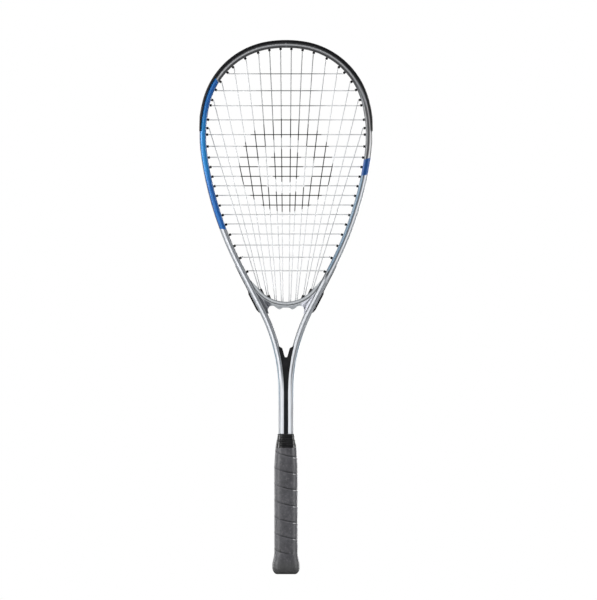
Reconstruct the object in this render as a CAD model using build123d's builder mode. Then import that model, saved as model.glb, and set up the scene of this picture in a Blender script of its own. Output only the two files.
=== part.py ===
# Squash racket: one-piece bent tube frame with an open throat, moulded bridge, strings and gripped handle.
# Units are millimetres.  +Z runs from the butt to the tip, the strings lie in the XZ plane,
# the front of the racket faces -Y, and the origin is the centre of the butt's end.
from build123d import *
from math import cos, hypot, radians, sin, tan
import os

# ---------------------------------------------------------------- driving sizes
racket_length = 686.0          # butt to tip, over the bumper
head_width = 222.2             # over the frame tube at its widest
widest_below_tip = 122.0       # how far below the tip the head is widest
fork_below_tip = 451.0         # how far below the tip the two shafts run together

tube_width = 8.6               # frame tube across, in the plane of the strings
tube_depth = 19.0              # frame tube front to back
tube_wall = 1.2
inner_corner = 3.0             # rounding on the side that faces the strings
outer_corner = 4.6             # rounding on the outside
shaft_gap = 2.1                # space left between the two shafts

groove_width = 6.0             # channel round the outside of the tube
groove_depth = 2.6

tip_arc_angle = 8.6            # degrees swept by the flat arc at the tip, each side
shoulder_angle = 75.7          # where the tight shoulder arc ends, from the tip
shoulder_ratio = 0.912         # shoulder radius against half of the head's width
cheek_angle = 8.3              # first arc below the widest point
throat_angle = 27.2            # lean of the straight throat tubes
throat_run = 64.5              # length of the straight throat tubes
fork_radius = 227.0            # arc that turns the throat tubes into the shafts

bumper_proud = 1.5             # how far the bumper stands out of the tube
bumper_proud_end = 18.0        # length over which the bumper thins out at each end
strip_proud = 2.2              # how far the throat strips stand out of the tube
strip_below_tip = 350.0        # lower end of the throat strips

string_d = 1.2
weave_rise = 1.65              # how far the cross string steps off the main strings' plane
barrel_reach = 2.7             # how far the grommet barrels stand into the head
main_gaps = (7.2, 15.1, 15.7, 19.2, 20.5, 26.3, 27.4, 38.1)   # along the tube, tip to side
cross_from_tip = 43.5          # first cross string below the tip, then the steps between them
cross_gaps = (21.7, 19.3, 18.2, 18.9, 15.0, 14.0, 12.2, 12.3, 12.2, 12.3, 12.4, 12.2, 12.1,
              12.9, 14.2, 15.6, 17.4)

bridge_below_tip = 336.2       # top of the bridge at its middle
bridge_radius = 44.5           # curve of the bridge's top edge
bridge_thick = 7.6             # bridge's middle, top to bottom
bridge_depth = 17.0
bridge_half_span = 23.6        # half the width of the throat opening's top
bridge_round = 1.6             # rounding of the bridge's top edges
pocket_slope = 0.45            # slope of the facets in the bridge's webs
hole_angles = (6.3, 17.0, 30.0, 46.5)    # string holes round the bridge's curve, each side
hole_leans = (0.0, 12.0, 20.0, 24.8)     # how far each hole leans outwards
insert_below_tip = 409.2       # bottom of the notch in the shaft insert
insert_overlap = 2.2           # how far the insert's edges cover the tubes
insert_foot = 110.0            # height of the insert's lower end, inside the handle
horn_thick = 2.9               # how far the insert's horns stand in from the tubes
notch_radius = 2.0             # rounding at the bottom of the notch

grip_width = 30.0              # over the grip, in the plane of the strings
grip_depth = 26.6
grip_facet = 17.0              # width of the front and back facets
grip_thick = 1.8
grip_top = 163.0               # height of the grip's upper end
butt_flare = 2.6               # how far the butt stands out of the grip
butt_height = 20.0
butt_round = 4.4               # rounding of the butt's lower rim
collar_length = 16.8
wrap_pitch = 21.0              # climb of the wrap in one turn

fit_gap = 0.15                 # play between pieces that are pushed together
seat_gap = 0.05                # play between a strip and its channel

# ---------------------------------------------------------------- sizes that follow
half_tube = tube_width / 2
half_depth = tube_depth / 2
shaft_x = half_tube + shaft_gap / 2
line_half_width = head_width / 2 - half_tube
line_tip = racket_length - bumper_proud - half_tube
line_widest = racket_length - widest_below_tip
fork_z = racket_length - fork_below_tip
groove_floor = half_tube - groove_depth
strip_base = groove_floor + seat_gap
strip_thick = 0.8
strip_top = strip_base + strip_thick
string_r = string_d / 2
run_level = strip_top + string_r + 0.3
bore_r = string_r + 0.5
barrel_r = bore_r + 0.5
drill_r = barrel_r + fit_gap
mouth = half_tube + barrel_reach
turn_r = 2 * string_r
lane = 1.6                     # strings outside the frame run this far beside the holes
bridge_top = racket_length - bridge_below_tip
bridge_floor = bridge_top - bridge_thick
bridge_centre_z = bridge_top + bridge_radius
slot_roof = bridge_floor + 4.2
slot_run = slot_roof - string_r - 0.4
pair_gap = 1.0                 # half the distance between two strings in one bridge hole


def half_line():
    """The right half of the tube's centre line: (radius, length) pieces, 0 radius = straight."""
    shoulder_r = shoulder_ratio * line_half_width
    t1, t2 = radians(tip_arc_angle), radians(shoulder_angle)
    across = line_half_width - shoulder_r * (sin(t2) - sin(t1))
    down = line_tip - line_widest - shoulder_r * (cos(t1) - cos(t2))
    det = sin(t1) * cos(t2) - (1 - sin(t2)) * (1 - cos(t1))
    tip_r = (across * cos(t2) - (1 - sin(t2)) * down) / det
    side_r = (sin(t1) * down - (1 - cos(t1)) * across) / det
    lean, cheek = radians(throat_angle), radians(cheek_angle)
    left = line_half_width - shaft_x - throat_run * sin(lean) - fork_radius * (1 - cos(lean))
    fall = line_widest - fork_z - throat_run * cos(lean) - fork_radius * sin(lean)
    p, q = 1 - cos(cheek), cos(cheek) - cos(lean)
    r, s = sin(cheek), sin(lean) - sin(cheek)
    cheek_r = (left * s - q * fall) / (p * s - q * r)
    lower_r = (p * fall - left * r) / (p * s - q * r)
    return [
        (tip_r, tip_r * t1),
        (shoulder_r, shoulder_r * (t2 - t1)),
        (side_r, side_r * (radians(90) - t2)),
        (cheek_r, cheek_r * cheek),
        (lower_r, lower_r * (lean - cheek)),
        (0, throat_run),
        (-fork_radius, fork_radius * lean),
        (0, fork_z - butt_height / 2),
    ]


LINE = half_line()
LINE_END = sum(length for radius, length in LINE)
JOINTS = [sum(length for radius, length in LINE[:i]) for i in range(len(LINE) + 1)]


def station(s):
    """Point and heading of the centre line, s along the tube from the tip, left side negative."""
    x, z, heading, left = 0.0, line_tip, 0.0, abs(s)
    for radius, length in LINE:
        step = min(left, length)
        if radius:
            turned = heading + step / radius
            x += radius * (sin(turned) - sin(heading))
            z -= radius * (cos(heading) - cos(turned))
            heading = turned
        else:
            x += step * cos(heading)
            z -= step * sin(heading)
        left -= step
    side = 1 if s >= 0 else -1
    return side * x, z, side * heading


def rail_point(s, out=0.0, front=0.0):
    """A point beside the centre line: out from the head, and to the front."""
    x, z, heading = station(s)
    return Vector(x + out * sin(heading), -front, z + out * cos(heading))


def rail_plane(s):
    """A plane across the tube: its x points out of the head, its y to the front."""
    x, z, heading = station(s)
    return Plane(
        origin=(x, 0, z), x_dir=(sin(heading), 0, cos(heading)), z_dir=(cos(heading), 0, -sin(heading))
    )


def drill_plane(s):
    """A plane whose z runs along a string hole, out of the head."""
    x, z, heading = station(s)
    return Plane(origin=(x, 0, z), x_dir=(0, -1, 0), z_dir=(sin(heading), 0, cos(heading)))


def rail(start, end):
    """The centre line between two stations, as arcs and straight runs."""
    marks = [start, end]
    marks += [m for j in JOINTS[1:] for m in (j, -j) if start + 0.5 < m < end - 0.5]
    marks = sorted(marks)
    with BuildLine() as line:
        for a, b in zip(marks, marks[1:]):
            middle = (a + b) / 2
            flat = [r for (r, n), j in zip(LINE, JOINTS) if j <= abs(middle) < j + n]
            if flat and flat[0] == 0:
                Line(rail_point(a), rail_point(b))
            else:
                ThreePointArc(rail_point(a), rail_point(middle), rail_point(b))
    return line.wire()


def station_at_height(z, out, low, high):
    """Where the line that runs beside the tube at a distance is at height z (right side)."""
    for _ in range(60):
        middle = (low + high) / 2
        if rail_point(middle, out).Z > z:
            low = middle
        else:
            high = middle
    return low


WIDEST = JOINTS[3]
cross_heights = [racket_length - cross_from_tip - sum(cross_gaps[:i]) for i in range(len(cross_gaps) + 1)]
main_stations = [sum(main_gaps[: i + 1]) for i in range(len(main_gaps))]
bend = mouth + 0.9
cross_stations = [station_at_height(z, -bend, 0, JOINTS[6]) for z in cross_heights]
tie_station = cross_stations[-2]


def outline(grow=0.0):
    """The tube's outline without its channel."""
    w, d = half_tube + grow, half_depth + grow
    with BuildLine() as edge:
        FilletPolyline(
            (-w, -d), (w, -d), (w, d), (-w, d),
            radius=[inner_corner + grow, outer_corner + grow, outer_corner + grow, inner_corner + grow],
            close=True,
        )
    make_face(edge.edges())


def band(u0, u1, width, mode=Mode.ADD):
    """A rectangle in the tube's section, from u0 to u1 outwards."""
    with Locations(((u0 + u1) / 2, 0)):
        Rectangle(u1 - u0, width, mode=mode)


def drill(s, radius, low, high, front=0.0, mode=Mode.SUBTRACT):
    """A round hole or barrel along a string hole, between two distances from the centre line."""
    with BuildSketch(drill_plane(s).offset(low)) as ring:
        with Locations((front, 0)):
            Circle(radius)
    extrude(ring.sketch, amount=high - low, mode=mode)


# ---------------------------------------------------------------- stations of the trim pieces
bumper_end = main_stations[-1] + 4.5
side_start = bumper_end + 0.5
side_end = cross_stations[-1] + 4.0
strip_start = tie_station + 6.0
strip_end = station_at_height(racket_length - strip_below_tip, half_tube, JOINTS[4], JOINTS[7])
head_holes = [s for s in main_stations + cross_stations if s < bumper_end]
side_holes = [s for s in cross_stations if s > bumper_end]


def both(stations):
    return [side * s for side in (-1, 1) for s in stations]


def tube_space(grow, start, end):
    """The room the frame tube takes, its channel filled in."""
    with BuildPart() as space:
        with BuildSketch(rail_plane(start)):
            outline(grow)
        sweep(path=rail(start, end))
    return space.part


# ---------------------------------------------------------------- bridge holes and string ends
def bridge_point(angle, above=0.0):
    a = radians(angle)
    return Vector((bridge_radius - above) * sin(a), 0, bridge_centre_z - (bridge_radius - above) * cos(a))


def hole_plane(angle, lean, side):
    """A plane at a bridge hole's mouth: its z runs up the hole, its x across it, outwards."""
    point, tip = bridge_point(angle), radians(lean)
    return Plane(
        origin=(side * point.X, 0, point.Z),
        x_dir=(side * cos(tip), 0, -sin(tip)),
        z_dir=(side * sin(tip), 0, cos(tip)),
    )


def hole_line(angle, lean, side, shift, above):
    """The two bends of one string in a bridge hole: over its mouth and in the slot below."""
    plane = hole_plane(angle, lean, side)
    top = plane.from_local_coords((shift, 0, above))
    drop = (top.Z - slot_run) / plane.z_dir.Z
    return top, top - plane.z_dir * drop


grommet_stand = 2.5
HOLES = list(zip(hole_angles, hole_leans, (0.9, 0.9, grommet_stand + 0.9, grommet_stand + 0.9)))


def main_ends(number, side):
    """Bends of main string 1 (outermost) to 8 (innermost) at the bridge."""
    angle, lean, above = HOLES[3 - (number - 1) // 2]
    shift = pair_gap if number % 2 else -pair_gap
    return hole_line(angle, lean, side, shift, above)


def tail_station():
    """Where the tube's own square line meets the outermost string's bend in the slot."""
    turn = main_ends(1, 1)[1]
    low, high = tie_station, JOINTS[7]
    for _ in range(60):
        middle = (low + high) / 2
        x, z, heading = station(middle)
        ahead = (turn.X - x) * cos(heading) - (turn.Z - z) * sin(heading)
        if ahead > 0:
            low = middle
        else:
            high = middle
    return low


tail_s = tail_station()

# ---------------------------------------------------------------- frame tube
with BuildPart() as frame_tube:
    with BuildSketch(rail_plane(-LINE_END)):
        outline()
        band(groove_floor, half_tube + 1, groove_width, Mode.SUBTRACT)
        with BuildSketch(mode=Mode.PRIVATE) as hollow:
            outline(-tube_wall)
            band(groove_floor - tube_wall, half_tube, groove_width + 2 * tube_wall, Mode.SUBTRACT)
        add(hollow.sketch, mode=Mode.SUBTRACT)
    sweep(path=rail(-LINE_END, LINE_END))
    for s in both(main_stations + cross_stations + [tail_s]):
        drill(s, drill_r, -half_tube - 1, half_tube + 1)
    for s in both([tie_station]):
        drill(s, drill_r, -half_tube - 1, half_tube + 1, lane)


# ---------------------------------------------------------------- bumper and grommet strips
def barrels(stations):
    """Grommet barrels on a strip, each with its string bore."""
    for s in both(stations):
        drill(s, barrel_r, -mouth, strip_base + strip_thick / 2, mode=Mode.ADD)
    for s in both(stations):
        drill(s, bore_r, -mouth - 1, strip_top + 0.5)


def taper(near, far, high, low):
    """Cuts a strip down towards its end, in the plane of the strings."""
    edge = [rail_point(near, high), rail_point(far, low)]
    edge += [rail_point(far, high + 3), rail_point(near, high + 3)]
    with BuildSketch(Plane.XZ) as wedge:
        with BuildLine() as around:
            Polyline([(p.X, p.Z) for p in edge], close=True)
        make_face(around.edges())
    extrude(wedge.sketch, amount=tube_depth, both=True, mode=Mode.SUBTRACT)


with BuildPart() as bumper_guard:
    with BuildSketch(rail_plane(-bumper_end)):
        outline(bumper_proud)
        band(-tube_width, half_tube - 1.2, 2 * tube_depth, Mode.SUBTRACT)
        with BuildSketch(mode=Mode.PRIVATE) as seat:
            outline(seat_gap)
        add(seat.sketch, mode=Mode.SUBTRACT)
        band(strip_base, half_tube + bumper_proud / 2, groove_width - 2 * seat_gap)
        band(strip_top, half_tube + bumper_proud + 1, 2 * (lane + string_r + 0.2), Mode.SUBTRACT)
    sweep(path=rail(-bumper_end, bumper_end))
    for end in (-1, 1):
        taper(
            end * (bumper_end - bumper_proud_end), end * (bumper_end + 1),
            half_tube + bumper_proud, half_tube + 0.4,
        )
    barrels(head_holes)


def side_strip(side):
    """A grommet strip in the channel beside the head, left (-1) or right (1)."""
    ends = sorted((side * side_start, side * side_end))
    with BuildPart() as strip:
        with BuildSketch(rail_plane(ends[0])):
            band(strip_base, strip_top, groove_width - 2 * seat_gap)
        sweep(path=rail(*ends))
        for s in [side * s for s in side_holes] + [side * tie_station]:
            shift = lane if s == side * tie_station else 0.0
            drill(s, barrel_r, -mouth, strip_base + strip_thick / 2, mode=Mode.ADD)
            drill(s, barrel_r, -mouth, strip_base + strip_thick / 2, shift, Mode.ADD)
        for s in [side * s for s in side_holes]:
            drill(s, bore_r, -mouth - 1, strip_top + 0.5)
        drill(side * tie_station, bore_r, -mouth - 1, strip_top + 0.5, lane)
    return strip.part


def throat_strip(side):
    """A cap over the channel beside the throat, thick at its lower end."""
    ends = sorted((side * strip_start, side * strip_end))
    with BuildPart() as strip:
        with BuildSketch(rail_plane(ends[0])):
            band(half_tube + seat_gap, half_tube + strip_proud, groove_width + 4)
        sweep(path=rail(*ends))
        shelf = strip_end - 27.0
        with BuildSketch(Plane.XZ) as thin:
            with BuildLine() as around:
                Polyline(
                    [
                        (p.X, p.Z) for p in (
                            rail_point(side * (strip_start - 1), half_tube + 0.5),
                            rail_point(side * (strip_start + 12), half_tube + 0.8),
                            rail_point(side * (shelf - 4), half_tube + 0.8),
                            rail_point(side * shelf, half_tube + strip_proud),
                            rail_point(side * shelf, half_tube + strip_proud + 3),
                            rail_point(side * (strip_start - 1), half_tube + strip_proud + 3),
                        )
                    ],
                    close=True,
                )
            make_face(around.edges())
        extrude(thin.sketch, amount=tube_depth, both=True, mode=Mode.SUBTRACT)
        taper(side * (strip_end - 5), side * (strip_end + 0.5), half_tube + strip_proud, half_tube + 0.6)
    return strip.part


# ---------------------------------------------------------------- throat bridge
def bridge_half_floor(side):
    """Points along the bridge's lower edge, from the middle to the tube."""
    corner = bridge_half_span
    edge = (
        (0.17 * corner, bridge_floor),
        (0.35 * corner, bridge_floor - 2.6),
        (0.50 * corner, bridge_floor - 0.6),
        (0.66 * corner, bridge_floor + 2.4),
        (0.90 * corner, bridge_floor + 2.2),
        (corner, bridge_floor - 3.0),
        (0.93 * corner, bridge_floor - 7.5),
    )
    return [(side * x, z) for x, z in edge]


def web_pocket(side, face):
    """A sloping facet in the web between the bridge and the tube, deepest away from the tube."""
    low = rail_point(station_at_height(bridge_floor - 8.0, -half_tube, JOINTS[4], JOINTS[7]), 0.9 - half_tube)
    high = rail_point(station_at_height(bridge_floor + 17.5, -half_tube, JOINTS[4], JOINTS[7]), 0.9 - half_tube)
    corner = Vector(bridge_half_span - 1.6, 0, bridge_floor + 3.6)
    up = Vector(side * (high.X - low.X), 0, high.Z - low.Z).normalized()
    inward = Vector(-side * up.Z, 0, side * up.X)
    front = Vector(0, face * bridge_depth / 2, 0)
    slope = Plane(
        origin=Vector(side * low.X, 0, low.Z) + front, x_dir=up,
        z_dir=inward * pocket_slope + Vector(0, face, 0),
    )
    spots = [slope.to_local_coords(Vector(side * p.X, 0, p.Z) + front) for p in (low, high, corner)]
    with BuildSketch(slope) as facet:
        with BuildLine() as around:
            Polyline([(p.X, p.Y) for p in spots], close=True)
        make_face(around.edges())
    extrude(facet.sketch, amount=8, mode=Mode.SUBTRACT)


with BuildPart() as throat_bridge:
    rim = bridge_point(hole_angles[3])
    reach = 14.5
    far = (rim.X + reach, rim.Z + reach * tan(radians(hole_angles[3])))
    foot = bridge_half_floor(1)[-1]
    root = rail_point(station_at_height(foot[1], 0, JOINTS[4], JOINTS[7]))
    with BuildSketch(Plane.XZ) as plan:
        with BuildLine() as around:
            ThreePointArc((-rim.X, rim.Z), (0, bridge_top), (rim.X, rim.Z))
            Line((rim.X, rim.Z), far)
            Polyline(far, (root.X, root.Z), foot)
            FilletPolyline(
                [foot] + bridge_half_floor(1)[-2::-1] + bridge_half_floor(-1),
                radius=[2.5, 3.5, 3.5, 3.0, 2.0, 4.0, 4.0, 2.0, 3.0, 3.5, 3.5, 2.5],
            )
            Polyline((-foot[0], foot[1]), (-root.X, root.Z), (-far[0], far[1]), (-rim.X, rim.Z))
        make_face(around.edges())
    extrude(plan.sketch, amount=bridge_depth / 2, both=True)
    rims = throat_bridge.edges().filter_by(GeomType.CIRCLE)
    fillet(rims.filter_by(lambda e: abs(e.radius - bridge_radius) < 0.01), bridge_round)
    for side in (-1, 1):
        for face in (-1, 1):
            web_pocket(side, face)
    for face in (-1, 1):
        with BuildSketch(Plane.XZ.offset(face * bridge_depth / 2)) as ledge:
            with Locations((0, bridge_centre_z)):
                Circle(bridge_radius + 4.6)
                Circle(bridge_radius + 3.8, mode=Mode.SUBTRACT)
            with Locations((0, bridge_centre_z + bridge_radius / 2)):
                Rectangle(3 * bridge_radius, 3 * bridge_radius - 17, mode=Mode.SUBTRACT)
        extrude(ledge.sketch, amount=0.6, both=True, mode=Mode.SUBTRACT)
    with Locations((0, 0, slot_roof - 10)):
        Box(2 * (main_ends(1, 1)[1].X + bore_r + 0.3), 2 * bore_r, 20, mode=Mode.SUBTRACT)
    for side in (-1, 1):
        for angle, lean, above in HOLES:
            plane = hole_plane(angle, lean, side)
            with BuildSketch(plane.offset(3)) as hole:
                SlotOverall(2 * (pair_gap + bore_r - 0.1), 2 * bore_r - 0.4)
            deep = (bridge_point(angle).Z - slot_roof + 1.2) / cos(radians(lean))
            extrude(hole.sketch, amount=-3 - deep, mode=Mode.SUBTRACT)
            if above > 1:
                with BuildSketch(plane.offset(3)) as seat:
                    SlotOverall(2 * (pair_gap + barrel_r - 0.2 + seat_gap), 2 * (barrel_r - 0.2 + seat_gap))
                extrude(seat.sketch, amount=-8, mode=Mode.SUBTRACT)
        drill(side * tail_s, bore_r, -half_tube - 9, -half_tube + 1)
    add(tube_space(fit_gap, -JOINTS[7], -WIDEST), mode=Mode.SUBTRACT)
    add(tube_space(fit_gap, WIDEST, JOINTS[7]), mode=Mode.SUBTRACT)

with BuildPart() as bridge_grommets:
    for side in (-1, 1):
        for angle, lean, above in HOLES[2:]:
            plane = hole_plane(angle, lean, side)
            with BuildSketch(plane.offset(grommet_stand)) as sleeve:
                SlotOverall(2 * (pair_gap + barrel_r - 0.2), 2 * (barrel_r - 0.2))
                SlotOverall(2 * (pair_gap + bore_r - 0.1), 2 * bore_r - 0.4, mode=Mode.SUBTRACT)
            extrude(sleeve.sketch, amount=-grommet_stand - 5 + seat_gap)

# ---------------------------------------------------------------- shaft insert
with BuildPart() as shaft_insert:
    edge_out = insert_overlap - half_tube
    notch_z = racket_length - insert_below_tip
    horn = station_at_height(notch_z + 16.4, -half_tube, JOINTS[5], JOINTS[7])
    shoulder = station_at_height(notch_z + 8.0, edge_out, JOINTS[5], JOINTS[7])
    tip = rail_point(horn, 1.0 - half_tube)
    inner = rail_point(horn + 3.6, -horn_thick - half_tube)
    side = [rail_point(s, edge_out) for s in (shoulder, (shoulder + JOINTS[7]) / 2, JOINTS[7])]
    with BuildSketch(Plane.XZ) as plan:
        with BuildLine() as around:
            FilletPolyline(
                (-inner.X, inner.Z), (0, notch_z - 1.9 * notch_radius), (inner.X, inner.Z),
                radius=notch_radius,
            )
            Line((inner.X, inner.Z), (tip.X, tip.Z))
            Line((tip.X, tip.Z), (side[0].X, side[0].Z))
            ThreePointArc(*[(p.X, p.Z) for p in side])
            Polyline(
                (side[2].X, side[2].Z), (side[2].X, insert_foot),
                (-side[2].X, insert_foot), (-side[2].X, side[2].Z),
            )
            ThreePointArc(*[(-p.X, p.Z) for p in reversed(side)])
            Line((-side[0].X, side[0].Z), (-tip.X, tip.Z))
            Line((-tip.X, tip.Z), (-inner.X, inner.Z))
        make_face(around.edges())
    extrude(plan.sketch, amount=half_depth - 0.15, both=True)
    add(tube_space(fit_gap, -LINE_END, -WIDEST), mode=Mode.SUBTRACT)
    add(tube_space(fit_gap, WIDEST, LINE_END), mode=Mode.SUBTRACT)


# ---------------------------------------------------------------- strings
def along(a, b, shift, start_shift, end_shift):
    """Bends of a run outside the frame from hole a to hole b, stepping aside to its lane."""
    way = 1 if b > a else -1
    count = max(1, round(abs(b - a) / 9))
    first, last = a + way * 3.5, b - way * 3.5
    points = [] if start_shift == shift else [rail_point(first, run_level, shift)]
    stops = [first + (last - first) * i / count for i in range(1, count)]
    points += [rail_point(s, run_level, shift) for s in stops]
    points += [] if end_shift == shift else [rail_point(last, run_level, shift)]
    return points


def main_route():
    """Every bend of the main string, from one tie-off to the other."""
    route = []
    for side in (-1, 1):
        tie, tail = side * tie_station, side * tail_s
        half = [rail_point(tie, -mouth - 0.8, lane), rail_point(tie, run_level, lane)]
        half += along(tie, tail, lane, lane, 0)
        half += [rail_point(tail, run_level)]
        for number in range(1, 9):
            above, below = main_ends(number, side)
            top = side * main_stations[8 - number]
            bed, hole = rail_point(top, -bend), rail_point(top, run_level)
            if number % 2:
                half += [below, above, bed, hole]
                half += along(top, side * main_stations[7 - number], lane, 0, 0)
            else:
                half += [hole, bed, above, below]
        route = half if side < 0 else route + half[::-1]
    return route


def cross_route():
    """Every bend of the cross string, woven over and under the mains."""
    route = []
    for row, (s, z) in enumerate(zip(cross_stations, cross_heights)):
        side = 1 if row % 2 == 0 else -1
        if row:
            last = side * cross_stations[row - 1]
            route += along(last, side * s, -lane, 0, 0)
        crossings = []
        for column in range(16):
            half = -1 if column < 8 else 1
            number = column + 1 if column < 8 else 16 - column
            top, above = rail_point(half * main_stations[8 - number], -bend), main_ends(number, half)[0]
            if top.Z - 3 > z:
                x = above.X + (top.X - above.X) * (z - above.Z) / (top.Z - above.Z)
                crossings.append(Vector(x, weave_rise * (1 if (row + column) % 2 else -1), z))
        line = [rail_point(-s, run_level), rail_point(-s, -bend)] + crossings
        line += [rail_point(s, -bend), rail_point(s, run_level)]
        route += line[::-side]
    return route


def rounded(route):
    """Straight runs joined by tangent arcs: wide on gentle bends, tight where the string turns back."""
    edges, start = [], route[0]
    for before, corner, after in zip(route, route[1:], route[2:]):
        come, go = (corner - before).normalized(), (after - corner).normalized()
        turn = radians(come.get_angle(go))
        if turn < 0.005:
            continue
        room = 0.48 * min((corner - before).length, (after - corner).length)
        radius = min(3.0 if turn < 0.9 else turn_r, room / tan(turn / 2))
        cut = radius * tan(turn / 2)
        middle = corner + (go - come).normalized() * radius * (1 / cos(turn / 2) - 1)
        edges.append(Edge.make_line(start, corner - come * cut))
        edges.append(Edge.make_three_point_arc(corner - come * cut, middle, corner + go * cut))
        start = corner + go * cut
    edges.append(Edge.make_line(start, route[-1]))
    return Wire(edges)


def cord(route, knots):
    """A string through its bends, with a knot at each end."""
    path = rounded(route)
    with BuildPart() as string:
        with BuildSketch(Plane(origin=path @ 0, z_dir=path % 0)):
            Circle(string_r)
        sweep(path=path)
        for end in knots:
            with Locations(end):
                Sphere(1.15)
    return string.part


main_bends = main_route()
cross_bends = cross_route()
with BuildPart() as main_string:
    add(cord(main_bends, [main_bends[0], main_bends[-1]]))
with BuildPart() as cross_string:
    add(cord(cross_bends, [cross_bends[0], cross_bends[-1]]))

with BuildPart() as grommet_strip_left:
    add(side_strip(-1))
with BuildPart() as grommet_strip_right:
    add(side_strip(1))
with BuildPart() as throat_strip_left:
    add(throat_strip(-1))
with BuildPart() as throat_strip_right:
    add(throat_strip(1))

# ---------------------------------------------------------------- handle
core_x = grip_width / 2 - grip_thick
core_y = grip_depth / 2 - grip_thick
core_facet = grip_facet - grip_thick
room_x = shaft_x + half_tube + fit_gap
room_y = half_depth + fit_gap
taper_foot = grip_top - 19.0
core_top = grip_top + 7.0
taper_x = 2.2
taper_y = 1.2
cap_floor = 4.0
cap_skirt = 1.0
cap_top = butt_height + 12.0


def octagon(grow_x, grow_y):
    """The handle's eight-sided outline, grown each way."""
    x, y = core_x + grow_x, core_y + grow_y
    facet = core_facet / 2 + grow_x * 0.41
    bevel = x - facet
    with BuildLine() as edge:
        Polyline(
            (-facet, -y), (facet, -y), (x, bevel * 0.9 - y), (x, y - bevel * 0.9),
            (facet, y), (-facet, y), (-x, y - bevel * 0.9), (-x, bevel * 0.9 - y),
            close=True,
        )
    make_face(edge.edges())


def prism(low, high, grow, mode=Mode.ADD):
    with BuildSketch(Plane.XY.offset(low)) as base:
        octagon(grow, grow)
    extrude(base.sketch, amount=high - low, mode=mode)


def cone(low, high, low_grow, high_grow, mode=Mode.ADD):
    """A stretch of the handle that changes size from one height to another."""
    with BuildSketch(Plane.XY.offset(low)) as base:
        octagon(*low_grow)
    with BuildSketch(Plane.XY.offset(high)) as crown:
        octagon(*high_grow)
    loft([base.sketch, crown.sketch], mode=mode)


def taper_grow(z, extra=0.0):
    """How much smaller the core is at a height in its tapered top."""
    part = (z - taper_foot) / (core_top - taper_foot)
    return extra - taper_x * part, extra - taper_y * part


def core(grow, low, mode=Mode.ADD):
    """The whole core, straight and then tapered."""
    prism(low, taper_foot, grow, mode)
    cone(taper_foot, core_top, (grow, grow), taper_grow(core_top, grow), mode)


def shaft_room(low, high):
    """The rounded hole that the two shafts fill."""
    with BuildSketch(Plane.XY.offset(low)) as room:
        RectangleRounded(2 * room_x, 2 * room_y, outer_corner)
    extrude(room.sketch, amount=high - low, mode=Mode.SUBTRACT)


def handle_half(side):
    with BuildPart() as half:
        core(0, cap_floor + 0.2)
        shaft_room(cap_floor, core_top + 1)
        with Locations((0, side * (50 - seat_gap), core_top / 2)):
            Box(100, 100, 2 * core_top, mode=Mode.SUBTRACT)
        staple_bores()
    return half.part


staple_z = butt_height + 7.0
staple_wire = 0.8
staple_half = 3.0
staple_leg = 3.2


def staple_bores():
    """Holes for the staples' legs, both sides of the handle."""
    for end in (-1, 1):
        for leg in (-1, 1):
            with Locations(Location((end * (core_x + cap_skirt), leg * staple_half, staple_z), (0, 90, 0))):
                Cylinder(staple_wire / 2 + 0.1, 2 * (staple_leg + 0.7), mode=Mode.SUBTRACT)


with BuildPart() as handle_half_front:
    add(handle_half(1))
with BuildPart() as handle_half_back:
    add(handle_half(-1))

with BuildPart() as butt_cap:
    prism(0, butt_height - 7, butt_flare)
    cone(butt_height - 7, butt_height + 3, (butt_flare,) * 2, (cap_skirt,) * 2)
    prism(butt_height + 3, cap_top, cap_skirt)
    rim = butt_cap.edges().filter_by(GeomType.LINE).group_by(Axis.Z)[0]
    fillet(rim, butt_round)
    prism(cap_floor, cap_top + 1, fit_gap, Mode.SUBTRACT)
    with Locations((0, 0, 0.45)):
        Cylinder(9.1, 0.9, mode=Mode.SUBTRACT)
    staple_bores()
    for end in (-1, 1):
        with Locations((end * (core_x + cap_skirt), 0, staple_z)):
            Box(2 * staple_wire, 2 * staple_half + staple_wire + 0.3, staple_wire + 0.3, mode=Mode.SUBTRACT)

with BuildPart() as butt_badge:
    with Locations((0, 0, 0.5)):
        Cylinder(9.0, 0.8)
    fillet(butt_badge.faces().sort_by(Axis.Z)[0].edges(), 0.25)

with BuildPart() as butt_cap_staples:
    for end in (-1, 1):
        surface = core_x + cap_skirt - staple_wire / 2
        bends = [
            Vector(end * (surface - staple_leg), -staple_half, staple_z),
            Vector(end * surface, -staple_half, staple_z),
            Vector(end * surface, staple_half, staple_z),
            Vector(end * (surface - staple_leg), staple_half, staple_z),
        ]
        with BuildLine() as wire:
            FilletPolyline(bends, radius=0.6)
        with BuildSketch(Plane(origin=wire.line @ 0, z_dir=wire.line % 0)) as section:
            Circle(staple_wire / 2)
        sweep(section.sketch, path=wire.line)


def wrap_seams():
    """The turns' edges, a shallow groove that climbs round the grip one facet at a time."""
    x, y = core_x + grip_thick, core_y + grip_thick
    facet = core_facet / 2 + grip_thick * 0.41
    bevel = (x - facet) * 0.9
    ring = [(-facet, -y), (facet, -y), (x, bevel - y), (x, y - bevel),
            (facet, y), (-facet, y), (-x, y - bevel), (-x, bevel - y)]
    sides = [hypot(b[0] - a[0], b[1] - a[1]) for a, b in zip(ring, ring[1:] + ring[:1])]
    turns = int((taper_foot - butt_height - 6) / wrap_pitch)
    for turn in range(turns):
        z = taper_foot - 1 - turn * wrap_pitch
        for (ax, ay), (bx, by), side in zip(ring, ring[1:] + ring[:1], sides):
            drop = wrap_pitch * side / sum(sides)
            a, b = Vector(ax, ay, z), Vector(bx, by, z - drop)
            out = Vector(by - ay, ax - bx, 0).normalized()
            with Locations(Plane(origin=(a + b) / 2, x_dir=b - a, z_dir=out).location):
                Box((b - a).length + 0.4, 0.8, 0.8, mode=Mode.SUBTRACT)
            z -= drop


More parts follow.
